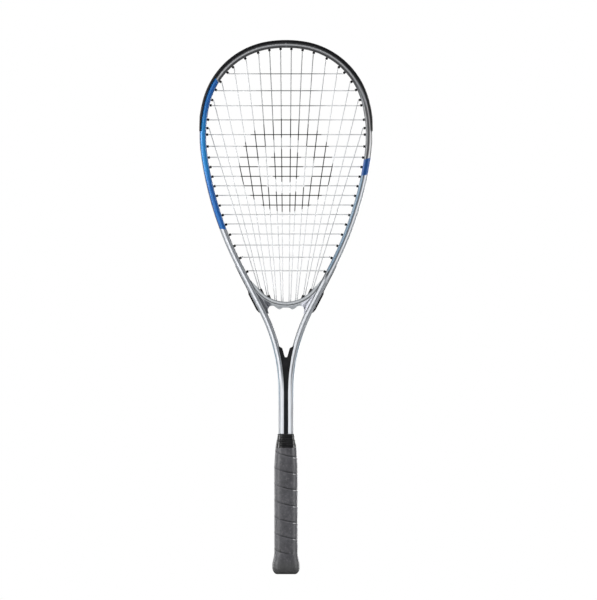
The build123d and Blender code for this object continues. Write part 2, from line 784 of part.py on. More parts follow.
with BuildPart() as grip_wrap:
    foot = 5.0
    prism(foot, butt_height - 7, butt_flare + grip_thick)
    cone(
        butt_height - 7, butt_height + 10,
        (butt_flare + grip_thick,) * 2, (grip_thick,) * 2,
    )
    prism(butt_height + 10, taper_foot, grip_thick)
    cone(taper_foot, grip_top, (grip_thick,) * 2, taper_grow(grip_top, grip_thick))
    wrap_seams()
    prism(foot - 1, butt_height - 7, butt_flare + seat_gap, Mode.SUBTRACT)
    cone(
        butt_height - 7, butt_height + 3,
        (butt_flare + seat_gap,) * 2, (cap_skirt + seat_gap,) * 2, Mode.SUBTRACT,
    )
    prism(butt_height + 3, cap_top + 0.1, cap_skirt + seat_gap, Mode.SUBTRACT)
    core(seat_gap, cap_top, Mode.SUBTRACT)

with BuildPart() as finishing_tape:
    tape_low, tape_high, tape_thick = grip_top + 0.1, grip_top + 5.1, 0.4
    cone(tape_low, tape_high, taper_grow(tape_low, tape_thick), taper_grow(tape_high, tape_thick))
    cone(tape_low, tape_high, taper_grow(tape_low, seat_gap), taper_grow(tape_high, seat_gap), Mode.SUBTRACT)

with BuildPart() as collar:
    low, high = grip_top + 0.2, grip_top + 0.2 + collar_length
    for z, grow_x, grow_y in ((low, 3.2, 2.0), (high, 0.45, 0.45)):
        with BuildSketch(Plane.XY.offset(z)):
            RectangleRounded(2 * (room_x + grow_x), 2 * (room_y + grow_y), 4.5 + grow_x / 2)
    loft()
    cone(low - 0.1, core_top + 0.2, taper_grow(low, 0.6), taper_grow(core_top, 0.55), Mode.SUBTRACT)
    shaft_room(core_top, high + 1)

# ---------------------------------------------------------------- export
pieces = {
    "frame_tube": frame_tube,
    "throat_bridge": throat_bridge,
    "bridge_grommets": bridge_grommets,
    "shaft_insert": shaft_insert,
    "bumper_guard": bumper_guard,
    "grommet_strip_left": grommet_strip_left,
    "grommet_strip_right": grommet_strip_right,
    "throat_strip_left": throat_strip_left,
    "throat_strip_right": throat_strip_right,
    "main_string": main_string,
    "cross_string": cross_string,
    "handle_half_front": handle_half_front,
    "handle_half_back": handle_half_back,
    "butt_cap": butt_cap,
    "butt_cap_staples": butt_cap_staples,
    "butt_badge": butt_badge,
    "grip_wrap": grip_wrap,
    "finishing_tape": finishing_tape,
    "collar": collar,
}
os.makedirs("parts", exist_ok=True)
for name, piece in pieces.items():
    piece.part.label = name
    export_step(piece.part, f"parts/{name}.step")
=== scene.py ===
import math

import bpy
import numpy as np
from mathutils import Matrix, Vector


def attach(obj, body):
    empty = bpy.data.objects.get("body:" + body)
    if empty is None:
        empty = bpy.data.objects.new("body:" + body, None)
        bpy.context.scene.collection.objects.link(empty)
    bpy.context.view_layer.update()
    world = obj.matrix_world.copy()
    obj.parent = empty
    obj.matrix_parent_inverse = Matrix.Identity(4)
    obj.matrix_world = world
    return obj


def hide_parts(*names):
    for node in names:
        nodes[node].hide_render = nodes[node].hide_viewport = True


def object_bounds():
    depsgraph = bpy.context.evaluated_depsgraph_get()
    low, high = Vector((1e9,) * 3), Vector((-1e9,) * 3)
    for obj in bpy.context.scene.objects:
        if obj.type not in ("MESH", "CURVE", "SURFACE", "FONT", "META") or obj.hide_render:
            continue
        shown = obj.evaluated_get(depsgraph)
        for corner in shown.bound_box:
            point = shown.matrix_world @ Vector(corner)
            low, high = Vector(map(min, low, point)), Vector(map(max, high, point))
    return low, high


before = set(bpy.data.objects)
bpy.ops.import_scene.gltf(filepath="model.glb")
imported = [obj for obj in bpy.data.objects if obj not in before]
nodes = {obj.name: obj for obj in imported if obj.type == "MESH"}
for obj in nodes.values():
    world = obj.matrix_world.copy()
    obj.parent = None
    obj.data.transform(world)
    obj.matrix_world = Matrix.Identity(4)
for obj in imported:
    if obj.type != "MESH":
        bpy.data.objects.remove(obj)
cad_low, cad_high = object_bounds()
MM = 0.001

# ------------------------------------------------------------------ sizes shared with the CAD, in mm
LENGTH = 686.0
HEAD_WIDTH = 222.2
HALF_TUBE = 4.3
LINE_X, LINE_TIP, LINE_WIDEST = HEAD_WIDTH / 2 - HALF_TUBE, LENGTH - 1.5 - HALF_TUBE, 564.0
SHAFT_X, FORK_Z = 5.35, 235.0
STRING_R, BEND, RUN_LEVEL, LANE = 0.6, 7.9, 3.45, 1.6
MAIN_GAPS = (7.2, 15.1, 15.7, 19.2, 20.5, 26.3, 27.4, 38.1)
CROSS_GAPS = (21.7, 19.3, 18.2, 18.9, 15.0, 14.0, 12.2, 12.3, 12.2, 12.3, 12.4, 12.2, 12.1,
              12.9, 14.2, 15.6, 17.4)
BRIDGE_TOP, BRIDGE_R = 349.8, 44.5
HOLES = ((6.3, 0.0, 0.9), (17.0, 12.0, 0.9), (30.0, 20.0, 3.4), (46.5, 24.8, 3.4))
SLOT_RUN, PAIR_GAP, MOUTH = 345.4, 1.0, 7.0


def half_line():
    """The tube's centre line, tip to handle: (radius, length), 0 radius = straight."""
    sh = 0.912 * LINE_X
    t1, t2 = math.radians(8.6), math.radians(75.7)
    across = LINE_X - sh * (math.sin(t2) - math.sin(t1))
    down = LINE_TIP - LINE_WIDEST - sh * (math.cos(t1) - math.cos(t2))
    det = math.sin(t1) * math.cos(t2) - (1 - math.sin(t2)) * (1 - math.cos(t1))
    tip_r = (across * math.cos(t2) - (1 - math.sin(t2)) * down) / det
    side_r = (math.sin(t1) * down - (1 - math.cos(t1)) * across) / det
    lean, cheek, run, fork = math.radians(27.2), math.radians(8.3), 64.5, 227.0
    left = LINE_X - SHAFT_X - run * math.sin(lean) - fork * (1 - math.cos(lean))
    fall = LINE_WIDEST - FORK_Z - run * math.cos(lean) - fork * math.sin(lean)
    p, q = 1 - math.cos(cheek), math.cos(cheek) - math.cos(lean)
    r, s = math.sin(cheek), math.sin(lean) - math.sin(cheek)
    cheek_r = (left * s - q * fall) / (p * s - q * r)
    lower_r = (p * fall - left * r) / (p * s - q * r)
    return [(tip_r, tip_r * t1), (sh, sh * (t2 - t1)), (side_r, side_r * (math.pi / 2 - t2)),
            (cheek_r, cheek_r * cheek), (lower_r, lower_r * (lean - cheek)), (0, run),
            (-fork, fork * lean), (0, FORK_Z - 10)]


LINE = half_line()
LINE_END = sum(n for r, n in LINE)


def station(s):
    """x, z and heading of the centre line, s mm from the tip; the right side is positive."""
    x, z, h, left = 0.0, LINE_TIP, 0.0, abs(s)
    for radius, length in LINE:
        step = min(left, length)
        if radius:
            turned = h + step / radius
            x += radius * (math.sin(turned) - math.sin(h))
            z -= radius * (math.cos(h) - math.cos(turned))
            h = turned
        else:
            x += step * math.cos(h)
            z -= step * math.sin(h)
        left -= step
    side = 1 if s >= 0 else -1
    return side * x, z, side * h


def rail_point(s, out=0.0, front=0.0):
    """A point beside the centre line: out from the head, and towards the front."""
    x, z, h = station(s)
    return Vector((x + out * math.sin(h), -front, z + out * math.cos(h)))


def station_at_height(z, out, low, high):
    """The station, between low and high, where the line offset by out is at height z."""
    for _ in range(50):
        middle = (low + high) / 2
        if rail_point(middle, out).z > z:
            low = middle
        else:
            high = middle
    return low


cross_z = [LENGTH - 43.5 - sum(CROSS_GAPS[:i]) for i in range(len(CROSS_GAPS) + 1)]
main_s = [sum(MAIN_GAPS[: i + 1]) for i in range(8)]
cross_s = [station_at_height(z, -BEND, 0, 420) for z in cross_z]
tie_s = cross_s[-2]


# ------------------------------------------------------------------ node helpers
class Graph:
    """A small wrapper that adds shader nodes and links them."""

    def __init__(self, name):
        self.mat = bpy.data.materials.new(name)
        self.mat.use_nodes = True
        self.tree = self.mat.node_tree
        self.tree.nodes.clear()
        out = self.tree.nodes.new("ShaderNodeOutputMaterial")
        self.bsdf = self.tree.nodes.new("ShaderNodeBsdfPrincipled")
        self.link(self.bsdf.outputs[0], out.inputs[0])

    def link(self, a, b):
        self.tree.links.new(a, b)

    def put(self, socket, value):
        if isinstance(value, bpy.types.NodeSocket):
            self.link(value, socket)
        elif isinstance(value, tuple) and len(value) == 3 and socket.type == "RGBA":
            socket.default_value = (*value, 1)
        else:
            socket.default_value = value

    def shader(self, **values):
        for key, value in values.items():
            self.put(self.bsdf.inputs[key.replace("_", " ")], value)

    def math(self, op, a, b=0.0, c=0.0):
        n = self.tree.nodes.new("ShaderNodeMath")
        n.operation = op
        for socket, value in zip(n.inputs, (a, b, c)):
            self.put(socket, value)
        return n.outputs[0]

    def coords(self):
        return self.tree.nodes.new("ShaderNodeTexCoord").outputs["Object"]

    def split(self, vector):
        n = self.tree.nodes.new("ShaderNodeSeparateXYZ")
        self.link(vector, n.inputs[0])
        return n.outputs

    def attribute(self, name):
        n = self.tree.nodes.new("ShaderNodeAttribute")
        n.attribute_name = name
        return n.outputs["Vector"]

    def noise(self, vector, scale, detail=3.0, rough=0.5):
        n = self.tree.nodes.new("ShaderNodeTexNoise")
        self.link(vector, n.inputs["Vector"])
        n.inputs["Scale"].default_value = scale
        n.inputs["Detail"].default_value = detail
        n.inputs["Roughness"].default_value = rough
        return n.outputs["Fac"]

    def voronoi(self, vector, scale):
        n = self.tree.nodes.new("ShaderNodeTexVoronoi")
        self.link(vector, n.inputs["Vector"])
        n.inputs["Scale"].default_value = scale
        return n.outputs["Distance"]

    def step(self, value, low, high, a=0.0, b=1.0):
        """Smooth step of value from low to high, giving a to b."""
        n = self.tree.nodes.new("ShaderNodeMapRange")
        n.interpolation_type = "SMOOTHSTEP"
        self.put(n.inputs["Value"], value)
        n.inputs["From Min"].default_value = low
        n.inputs["From Max"].default_value = high
        n.inputs["To Min"].default_value = a
        n.inputs["To Max"].default_value = b
        return n.outputs[0]

    def inside(self, value, low, high, soft):
        """1 where value is between low and high, with soft edges."""
        return self.math("MULTIPLY", self.step(value, low - soft, low + soft),
                         self.step(value, high - soft, high + soft, 1.0, 0.0))

    def mix(self, fac, a, b):
        n = self.tree.nodes.new("ShaderNodeMix")
        n.data_type = "RGBA"
        self.put(n.inputs["Factor"], fac)
        self.put(n.inputs[6], a)
        self.put(n.inputs[7], b)
        return n.outputs[2]

    def bump(self, height, strength, distance, normal=None):
        n = self.tree.nodes.new("ShaderNodeBump")
        n.inputs["Strength"].default_value = strength
        n.inputs["Distance"].default_value = distance
        self.link(height, n.inputs["Height"])
        if normal is not None:
            self.link(normal, n.inputs["Normal"])
        return n.outputs[0]


def dress(names, mat):
    """Gives carried-over CAD nodes their material and slot."""
    for name in names:
        o = nodes[name]
        o.data.materials.clear()
        o.data.materials.append(mat)


# ------------------------------------------------------------------ frame paint
def rail_attribute(o):
    """Where each vertex lies on the tube: station s, out u, front v, in mm."""
    samples = np.arange(-LINE_END, LINE_END + 0.5, 0.5)
    line = np.array([station(s) for s in samples])
    co = np.array([v.co for v in o.data.vertices]) / MM
    found = np.zeros((len(co), 3), np.float32)
    for i in range(0, len(co), 4000):
        p = co[i:i + 4000]
        d = (p[:, None, 0] - line[None, :, 0]) ** 2 + (p[:, None, 2] - line[None, :, 1]) ** 2
        k = d.argmin(1)
        h = line[k, 2]
        dx, dz = p[:, 0] - line[k, 0], p[:, 2] - line[k, 1]
        found[i:i + 4000, 0] = samples[k] + dx * np.cos(h) - dz * np.sin(h)
        found[i:i + 4000, 1] = dx * np.sin(h) + dz * np.cos(h)
        found[i:i + 4000, 2] = -p[:, 1]
    a = o.data.attributes.new("rail", "FLOAT_VECTOR", "POINT")
    a.data.foreach_set("vector", found.ravel())


def station_of(z):
    return station_at_height(z, 0, 0, LINE_END)


# charcoal: the light colour is a painted highlight stripe on the ridge
CHARCOAL, CHARCOAL_HIGHLIGHT = (0.050, 0.051, 0.054), (0.34, 0.345, 0.355)
# silver: the light colour is a painted highlight, the dark and edge colours are painted shade on the bevels
SILVER, SILVER_HIGHLIGHT = (0.31, 0.325, 0.345), (0.80, 0.82, 0.86)
SILVER_SHADE, SILVER_EDGE_SHADE = (0.085, 0.09, 0.098), (0.19, 0.205, 0.225)
BLUE, AZURE = (0.0005, 0.085, 0.33), (0.001, 0.165, 0.44)
# the dark and inner blues are painted shade on the outer and inner bevels
BLUE_OUTER_SHADE, BLUE_INNER_SHADE = (0.001, 0.018, 0.065), (0.001, 0.050, 0.170)
# a painted shade line along the upper right side of the tube
UPPER_SHADE_LINE = (0.040, 0.043, 0.048)
BLUE_TOP, BLUE_FOOT, BAND_TOP, BAND_FOOT = 635, 443, 533.6, 512  # heights of the blue paint's ends
# steel blue paint; the darker colour is painted shade on its inner edge
STEEL_INNER_SHADE, STEEL_LIGHT = (0.10, 0.16, 0.22), (0.19, 0.28, 0.37)


def zone(g, value, top, bottom, soft):
    """1 between two heights along the tube, given as heights of its centre line."""
    return g.inside(value, station_of(top), station_of(bottom), soft)


def bands(g, u, base, stripes):
    """Paints lengthwise stripes on a base: (from, to, softness, colour) across the tube in mm."""
    for low, high, soft, colour in stripes:
        base = g.mix(g.inside(u, low, high, soft), base, colour)
    return base


def frame_paint():
    """The tube's lacquer: charcoal tip, silver throat, blue left side and a short blue band, with painted
    highlight stripes and painted shade on the bevels along the tube.
    """
    g = Graph("frame_lacquer")
    s, u = g.split(g.attribute("rail"))[:2]
    co = g.coords()
    away = g.math("ABSOLUTE", s)
    right = g.step(s, -1, 1)
    left = g.math("SUBTRACT", 1.0, right)
    slant = g.math("ADD", away, g.math("MULTIPLY", u, 0.5))
    # in each silver zone the light stripe is a painted highlight and the dark lines and bevels are painted
    # shade
    edges = [(-9, -3.1, 0.3, SILVER_SHADE), (3.2, 9, 0.5, SILVER_EDGE_SHADE)]
    base = bands(g, u, SILVER, [(0.0, 1.9, 0.35, SILVER_HIGHLIGHT), (-2.0, -0.6, 0.3, SILVER_EDGE_SHADE)] + edges)
    lower = bands(g, u, SILVER, [(-2.2, 0.0, 0.35, SILVER_HIGHLIGHT), (0.5, 1.4, 0.3, SILVER_EDGE_SHADE)] + edges)
    upper = bands(g, u, SILVER, [(0.8, 2.3, 0.3, SILVER_HIGHLIGHT), (-1.9, -0.2, 0.3, UPPER_SHADE_LINE)] + edges)
    # on the shafts: a painted highlight stripe and near-black painted shade on the inner side
    shaft = bands(g, u, SILVER, [(-3.8, 1.2, 0.4, SILVER_HIGHLIGHT), (1.8, 9, 0.5, (0.30, 0.31, 0.33)),
                                 (-9, -2.5, 0.25, (0.012, 0.012, 0.014))])
    base = g.mix(right, base, lower)
    above = g.step(away, station_of(385), station_of(372), 1.0, 0.0)
    base = g.mix(g.math("MULTIPLY", right, above), base, upper)
    base = g.mix(g.step(away, station_of(262), station_of(232)), base, shaft)
    # charcoal tip with a painted highlight line on its ridge and painted shade on its inner bevel
    tip = bands(g, u, CHARCOAL, [(-1.2, 0.7, 0.35, CHARCOAL_HIGHLIGHT), (-9, -2.0, 0.4, (0.036, 0.036, 0.038))])
    ends = station_of(BLUE_TOP)
    base = g.mix(g.math("MULTIPLY", left, g.step(away, ends - 0.15, ends + 0.15, 1.0, 0.0)), base, tip)
    fade = g.step(away, station_of(640), station_of(585), 1.0, 0.0)
    base = g.mix(g.math("MULTIPLY", right, fade), base, tip)
    # a darker grey stretch on the right cheek, with a painted highlight stripe and painted shade lines
    cheek = g.math("MULTIPLY", right, zone(g, away, 604, 534, 8.0))
    cheek_highlight_and_shade = bands(g, u, (0.20, 0.20, 0.205), [
        (0.8, 2.2, 0.3, (0.66, 0.66, 0.66)), (-1.8, 0.6, 0.3, (0.085, 0.085, 0.088)),
        (-9, -3.1, 0.3, SILVER_SHADE)])
    base = g.mix(cheek, base, cheek_highlight_and_shade)
    # blue left side and short blue band on the right
    blue = g.mix(g.inside(away, station_of(588), station_of(512), 18.0), BLUE, AZURE)
    # a painted highlight stripe along the blue, with painted shade on its inner and outer bevels
    blue_highlight = g.mix(0.3, blue, (0.005, 0.28, 0.72))
    blue = bands(g, u, blue, [(0.3, 2.0, 0.5, blue_highlight), (-9, -2.9, 0.4, BLUE_INNER_SHADE), (3.3, 9, 0.4, BLUE_OUTER_SHADE)])
    base = g.mix(g.math("MULTIPLY", left, zone(g, slant, BLUE_TOP, BLUE_FOOT, 0.15)), base, blue)
    band = g.math("MULTIPLY", right, zone(g, slant, BAND_TOP, BAND_FOOT, 0.15))
    base = g.mix(band, base, (0.001, 0.055, 0.22))
    # steel blue paint on the inner half of the right side, below the band, with painted shade on its inner
    # edge
    tint = g.math("MULTIPLY", zone(g, slant, BAND_FOOT, 390, 3.0), g.step(u, -0.6, -1.2))
    steel = g.mix(g.step(u, -3.0, -3.6), STEEL_LIGHT, STEEL_INNER_SHADE)
    base = g.mix(g.math("MULTIPLY", g.math("MULTIPLY", right, tint), 0.9), base, steel)
    # faint steel blue outside the fork
    fork = g.math("MULTIPLY", zone(g, away, 306, 222, 14.0), g.step(u, 2.2, 3.2))
    base = g.mix(g.math("MULTIPLY", fork, 0.6), base, (0.15, 0.24, 0.32))
    flake = g.noise(co, 5000.0, 2.0)
    base = g.mix(g.step(flake, 0.4, 0.8, 0.0, 0.04), base, (0.8, 0.82, 0.85))
    wear = g.noise(co, 130.0, 4.0, 0.6)
    g.shader(
        Base_Color=base,
        Metallic=0.15,
        Specular_IOR_Level=0.25,
        Roughness=g.step(wear, 0.3, 0.8, 0.30, 0.40),
        Coat_Weight=0.25,
        Coat_Roughness=0.10,
        Normal=g.bump(g.noise(co, 1400.0, 3.0), 0.03, 0.0002),
    )
    return g.mat


# ------------------------------------------------------------------ other materials
def plastic(name, colour, rough, grain=2600.0, bump=0.18, coat=0.0, spread=0.10, shine=0.35):
    """Moulded plastic: a fine grain, with broad changes of tone and roughness."""
    g = Graph(name)
    co = g.coords()
    fine, broad = g.noise(co, grain, 3.0), g.noise(co, 90.0, 3.0)
    lighter = tuple(min(1.0, c * 1.35 + 0.004) for c in colour)
    g.shader(
        Base_Color=g.mix(g.step(broad, 0.35, 0.75), colour, lighter),
        Roughness=g.step(broad, 0.3, 0.75, max(rough - spread, 0.05), rough + spread),
        Specular_IOR_Level=shine,
        Coat_Weight=coat,
        Coat_Roughness=0.12,
        Normal=g.bump(fine, bump, 0.0003),
    )
    return g.mat


def bridge_paint():
    """Silver-grey lacquer with painted highlight and painted shade bands round the bridge's arc, a left web
    in painted shade and a right web in painted highlight.
    """
    g = Graph("bridge_lacquer")
    co = g.coords()
    x, y, z = g.split(co)
    rise = g.math("SUBTRACT", z, (BRIDGE_TOP + BRIDGE_R) * MM)
    from_axis = g.math("SQRT", g.math("ADD", g.math("POWER", x, 2.0), g.math("POWER", rise, 2.0)))
    depth = g.math("MULTIPLY", g.math("SUBTRACT", from_axis, BRIDGE_R * MM), 1000.0)
    base = g.mix(g.noise(co, 60.0, 2.0), (0.33, 0.35, 0.365), (0.39, 0.41, 0.43))
    # bands round the arc: the light ones are painted highlights and the dark ones painted shade on the bead
    # and ledge
    base = bands(g, depth, base, [
        (-1, 0.7, 0.3, (0.23, 0.245, 0.26)), (1.4, 2.9, 0.5, (0.56, 0.58, 0.60)),
        (3.7, 4.7, 0.3, (0.10, 0.105, 0.11)), (4.9, 5.7, 0.3, (0.48, 0.50, 0.52))])
    # webs: the left one is painted shade and the right one a painted highlight, each crossed by a painted
    # reflection streak
    wing = g.math("MULTIPLY", g.step(g.math("ABSOLUTE", x), 0.0175, 0.0215), g.step(depth, 5.0, 5.8))
    east = g.step(x, -0.001, 0.001)
    skew = g.math("SUBTRACT", g.math("ABSOLUTE", x), g.math("MULTIPLY", z, 0.55))
    web_reflection_streak = g.inside(skew, -0.1652, -0.1632, 0.0007)
    web_shade = g.mix(web_reflection_streak, (0.10, 0.105, 0.12), (0.34, 0.35, 0.38))
    web_highlight = g.mix(web_reflection_streak, (0.74, 0.75, 0.82), (0.36, 0.375, 0.40))
    base = g.mix(wing, base, g.mix(east, web_shade, web_highlight))
    g.shader(
        Base_Color=base, Metallic=0.15, Specular_IOR_Level=0.35, Roughness=0.36,
        Coat_Weight=0.35, Coat_Roughness=0.12,
        Normal=g.bump(g.noise(co, 1800.0, 3.0), 0.08, 0.0002),
    )
    return g.mat


MARK_Z = 0.525  # height of the ring and dot's centre


def string_material():
    """White multifilament, inked in the middle of the bed with a plain ring and dot, with painted shade
    darkening the upper middle of the bed.
    """
    g = Graph("string_multifilament")
    x, y, z = g.split(g.coords())
    run, around = g.split(g.attribute("run"))[:2]
    dz = g.math("SUBTRACT", z, MARK_Z)
    far = g.math("SQRT", g.math("ADD", g.math("POWER", x, 2.0), g.math("POWER", dz, 2.0)))
    ring = g.inside(far, 0.036, 0.060, 0.0006)
    dot = g.step(far, 0.0226, 0.0214)
    grain = g.noise(g.coords(), 900.0, 4.0)
    ink = g.math("MULTIPLY", g.math("MAXIMUM", ring, dot), g.step(grain, 0.2, 0.4, 0.85, 1.0))
    twist = g.math("SINE", g.math("ADD", g.math("MULTIPLY", run, 5200.0), g.math("MULTIPLY", around, 4.0)))
    dull = g.mix(g.noise(g.coords(), 40.0, 2.0), (0.54, 0.55, 0.56), (0.74, 0.75, 0.76))
    # painted shade: the upper middle of the bed is darkened
    painted_shade_patch = g.math("MULTIPLY", g.inside(x, -0.036, 0.046, 0.016), g.step(z, 0.50, 0.60))
    dull = g.mix(g.math("MULTIPLY", painted_shade_patch, 0.85), dull, (0.12, 0.125, 0.13))
    g.shader(
        Base_Color=g.mix(ink, dull, (0.002, 0.002, 0.002)),
        Roughness=0.42, Specular_IOR_Level=g.math("SUBTRACT", 0.4, g.math("MULTIPLY", ink, 0.38)),
        Normal=g.bump(g.step(twist, -1, 1), 0.35, 0.00006),
    )
    return g.mat


def grip_material():
    """Perforated soft wrap: mottled, with a dark seam at each turn deepened on the front by painted shade,
    painted highlights along each turn's edge, and a greyer butt.
    """
    g = Graph("grip_wrap")
    co = g.coords()
    turn = g.split(g.attribute("run"))[1]
    pores = g.voronoi(co, 900.0)
    fine = g.noise(co, 3800.0, 3.0)
    broad = g.noise(co, 70.0, 4.0, 0.6)
    blotch = g.noise(co, 330.0, 4.0, 0.75)
    x, y, z = g.split(co)
    base = g.mix(g.step(broad, 0.3, 0.75), (0.050, 0.049, 0.055), (0.085, 0.084, 0.092))
    base = g.mix(g.step(blotch, 0.52, 0.68, 0.0, 0.55), base, (0.16, 0.16, 0.17))
    base = g.mix(g.step(blotch, 0.46, 0.30, 0.0, 0.55), base, (0.018, 0.018, 0.020))
    # the seam is darkened all round, and much more in the middle of the front face, where it is painted shade
    # in the groove
    middle = g.inside(x, -0.0055, 0.0105, 0.003)
    shade = g.math("ADD", g.math("MULTIPLY", middle, 0.75), 0.15)
    base = g.mix(g.math("MULTIPLY", g.step(turn, 0.12, 0.0), shade), base, (0.005, 0.005, 0.006))
    # painted highlight along the upper edge of each turn
    base = g.mix(g.inside(turn, 0.93, 0.985, 0.01), base, g.mix(0.12, base, (0.3, 0.3, 0.32)))
    # a painted highlight tick on the turn's edge at the right bevel
    edge_highlight_tick = g.math("MULTIPLY", g.inside(x, 0.0090, 0.0125, 0.0008), g.inside(turn, 0.93, 0.99, 0.01))
    base = g.mix(g.math("MULTIPLY", edge_highlight_tick, g.step(blotch, 0.35, 0.6, 0.2, 0.8)), base, (0.60, 0.60, 0.61))
    base = g.mix(g.step(z, 0.024, 0.006, 0.0, 0.6), base, (0.04, 0.041, 0.038))
    relief = g.bump(g.step(pores, 0.1, 0.6), 0.35, 0.0002)
    g.shader(
        Base_Color=base,
        Roughness=g.step(broad, 0.3, 0.8, 0.40, 0.52),
        Specular_IOR_Level=0.45,
        Normal=g.bump(fine, 0.25, 0.0001, relief),
    )
    return g.mat


# ------------------------------------------------------------------ mesh helpers
def piece(name, verts, faces, mat, smooth=True):
    mesh = bpy.data.meshes.new(name)
    mesh.from_pydata([tuple(v) for v in verts], [], faces)
    mesh.update()
    if smooth:
        mesh.polygons.foreach_set("use_smooth", [True] * len(mesh.polygons))
    o = bpy.data.objects.new(name, mesh)
    bpy.context.scene.collection.objects.link(o)
    mesh.materials.append(mat)
    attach(o, "root")
    return o


def point_attribute(o, name, values):
    a = o.data.attributes.new(name, "FLOAT_VECTOR", "POINT")
    a.data.foreach_set("vector", np.array(values, np.float32).ravel())


def tube(points, radius, sides, verts, faces, marks):
    """Adds a capped round tube along points (mm) to the mesh lists (metres)."""
    pts = [Vector(p) for p in points]
    base, run = len(verts), 0.0
    across = None
    for i, p in enumerate(pts):
        ahead = (pts[min(i + 1, len(pts) - 1)] - pts[max(i - 1, 0)]).normalized()
        if across is None:
            across = ahead.orthogonal().normalized()
        across = (across - ahead * across.dot(ahead)).normalized()
        up = ahead.cross(across)
        run += (p - pts[i - 1]).length if i else 0.0
        for k in range(sides):
            a = 2 * math.pi * k / sides
            verts.append((p + (across * math.cos(a) + up * math.sin(a)) * radius) * MM)
            marks.append((run * MM, a, 0.0))
        if i:
            for k in range(sides):
                j = (k + 1) % sides
                faces.append((base + (i - 1) * sides + k, base + (i - 1) * sides + j,
                              base + i * sides + j, base + i * sides + k))
    faces.append(tuple(base + k for k in reversed(range(sides))))
    faces.append(tuple(base + (len(pts) - 1) * sides + k for k in range(sides)))


def eased(route):
    """Rounds each sharp corner of a route with a short arc; the weave's own points stay."""
    out = [route[0]]
    for before, corner, after in zip(route, route[1:], route[2:]):
        come, go = (corner - before), (after - corner)
        turn = come.angle(go)
        if turn < 0.25:
            out.append(corner)
            continue
        come.normalize()
        go.normalize()
        room = 0.48 * min((corner - before).length, (after - corner).length)
        radius = min(2.5 if turn < 0.9 else 1.2, room / math.tan(turn / 2))
        cut = radius * math.tan(turn / 2)
        a, b = corner - come * cut, corner + go * cut
        for i in range(7):
            t = i / 6
            out.append(a.lerp(corner, t).lerp(corner.lerp(b, t), t))
    out.append(route[-1])
    return out


# ------------------------------------------------------------------ strings
def main_ends(number, side):
    """Where a main string enters and leaves its hole in the bridge."""
    angle, lean, above = HOLES[3 - (number - 1) // 2]
    shift = PAIR_GAP if number % 2 else -PAIR_GAP
    a, t = math.radians(angle), math.radians(lean)
    mouth = Vector((side * BRIDGE_R * math.sin(a), 0, BRIDGE_TOP + BRIDGE_R * (1 - math.cos(a))))
    up = Vector((side * math.sin(t), 0, math.cos(t)))
    over = Vector((side * math.cos(t), 0, -math.sin(t)))
    top = mouth + over * shift + up * above
    return top, top - up * ((top.z - SLOT_RUN) / up.z)


def tail_station():
    """The station level with the outermost main string's turn under the bridge."""
    turn = main_ends(1, 1)[1]
    low, high = tie_s, 520.0
    for _ in range(50):
        middle = (low + high) / 2
        x, z, h = station(middle)
        if (turn.x - x) * math.cos(h) - (turn.z - z) * math.sin(h) > 0:
            low = middle
        else:
            high = middle
    return low


tail_s = tail_station()


def along(a, b, shift, start_shift, end_shift):
    """A string's run in the outer groove, from station a to b, in a lane to one side."""
    way = 1 if b > a else -1
    count = max(1, round(abs(b - a) / 5))
    first, last = a + way * 3.5, b - way * 3.5
    points = [] if start_shift == shift else [rail_point(first, RUN_LEVEL, shift)]
    points += [rail_point(first + (last - first) * i / count, RUN_LEVEL, shift) for i in range(1, count)]
    return points + ([] if end_shift == shift else [rail_point(last, RUN_LEVEL, shift)])


def woven(a, b, stops, rise):
    """Points from a to b that pass over and under at the stops: (share of the way, sign)."""
    marks = [(0.0, 0.0)] + [(t, rise * sign) for t, sign in stops] + [(1.0, 0.0)]
    points = []
    for (t0, y0), (t1, y1) in zip(marks, marks[1:]):
        for i in range(8):
            f = i / 8
            lift = y0 + (y1 - y0) * (1 - math.cos(math.pi * f)) / 2
            points.append(a.lerp(b, t0 + (t1 - t0) * f) + Vector((0, lift, 0)))
    return points[1:]


MAIN_RISE, CROSS_RISE = 0.55, 0.75
columns = []
for column in range(16):
    half = -1 if column < 8 else 1
    number = column + 1 if column < 8 else 16 - column
    columns.append((half, number, rail_point(half * main_s[8 - number], -BEND), main_ends(number, half)[0]))


def main_bed(column):
    top, foot = columns[column][2:]
    crossed = [(row, z) for row, z in enumerate(cross_z) if top.z - 3 > z]
    stops = [((top.z - z) / (top.z - foot.z), -1 if (row + column) % 2 else 1) for row, z in crossed]
    return woven(top, foot, stops, MAIN_RISE)


def main_route():
    route = []
    for side in (-1, 1):
        tie, tail = side * tie_s, side * tail_s
        half = [rail_point(tie, -MOUTH - 0.9, LANE), rail_point(tie, RUN_LEVEL, LANE)]
        half += along(tie, tail, LANE, LANE, 0) + [rail_point(tail, RUN_LEVEL)]
        for number in range(1, 9):
            column = number - 1 if side < 0 else 16 - number
            above, below = main_ends(number, side)
            top = side * main_s[8 - number]
            bed, hole = rail_point(top, -BEND), rail_point(top, RUN_LEVEL)
            run = main_bed(column)
            if number % 2:
                half += [below, above] + run[::-1] + [bed, hole]
                half += along(top, side * main_s[7 - number], LANE, 0, 0)
            else:
                half += [hole, bed] + run + [above, below]
        route = half if side < 0 else route + half[::-1]
    return route


def cross_route():
    route = []
    for row, (s, z) in enumerate(zip(cross_s, cross_z)):
        side = 1 if row % 2 == 0 else -1
        if row:
            route += along(side * cross_s[row - 1], side * s, -LANE, 0, 0)
        a, b = rail_point(-s, -BEND), rail_point(s, -BEND)
        stops = []
        for column, (half, number, top, foot) in enumerate(columns):
            if top.z - 3 > z:
                x = foot.x + (top.x - foot.x) * (z - foot.z) / (top.z - foot.z)
                stops.append(((x - a.x) / (b.x - a.x), 1 if (row + column) % 2 else -1))
        line = [rail_point(-s, RUN_LEVEL), a] + woven(a, b, stops, CROSS_RISE) + [b, rail_point(s, RUN_LEVEL)]
        route += line[::-side]
    return route


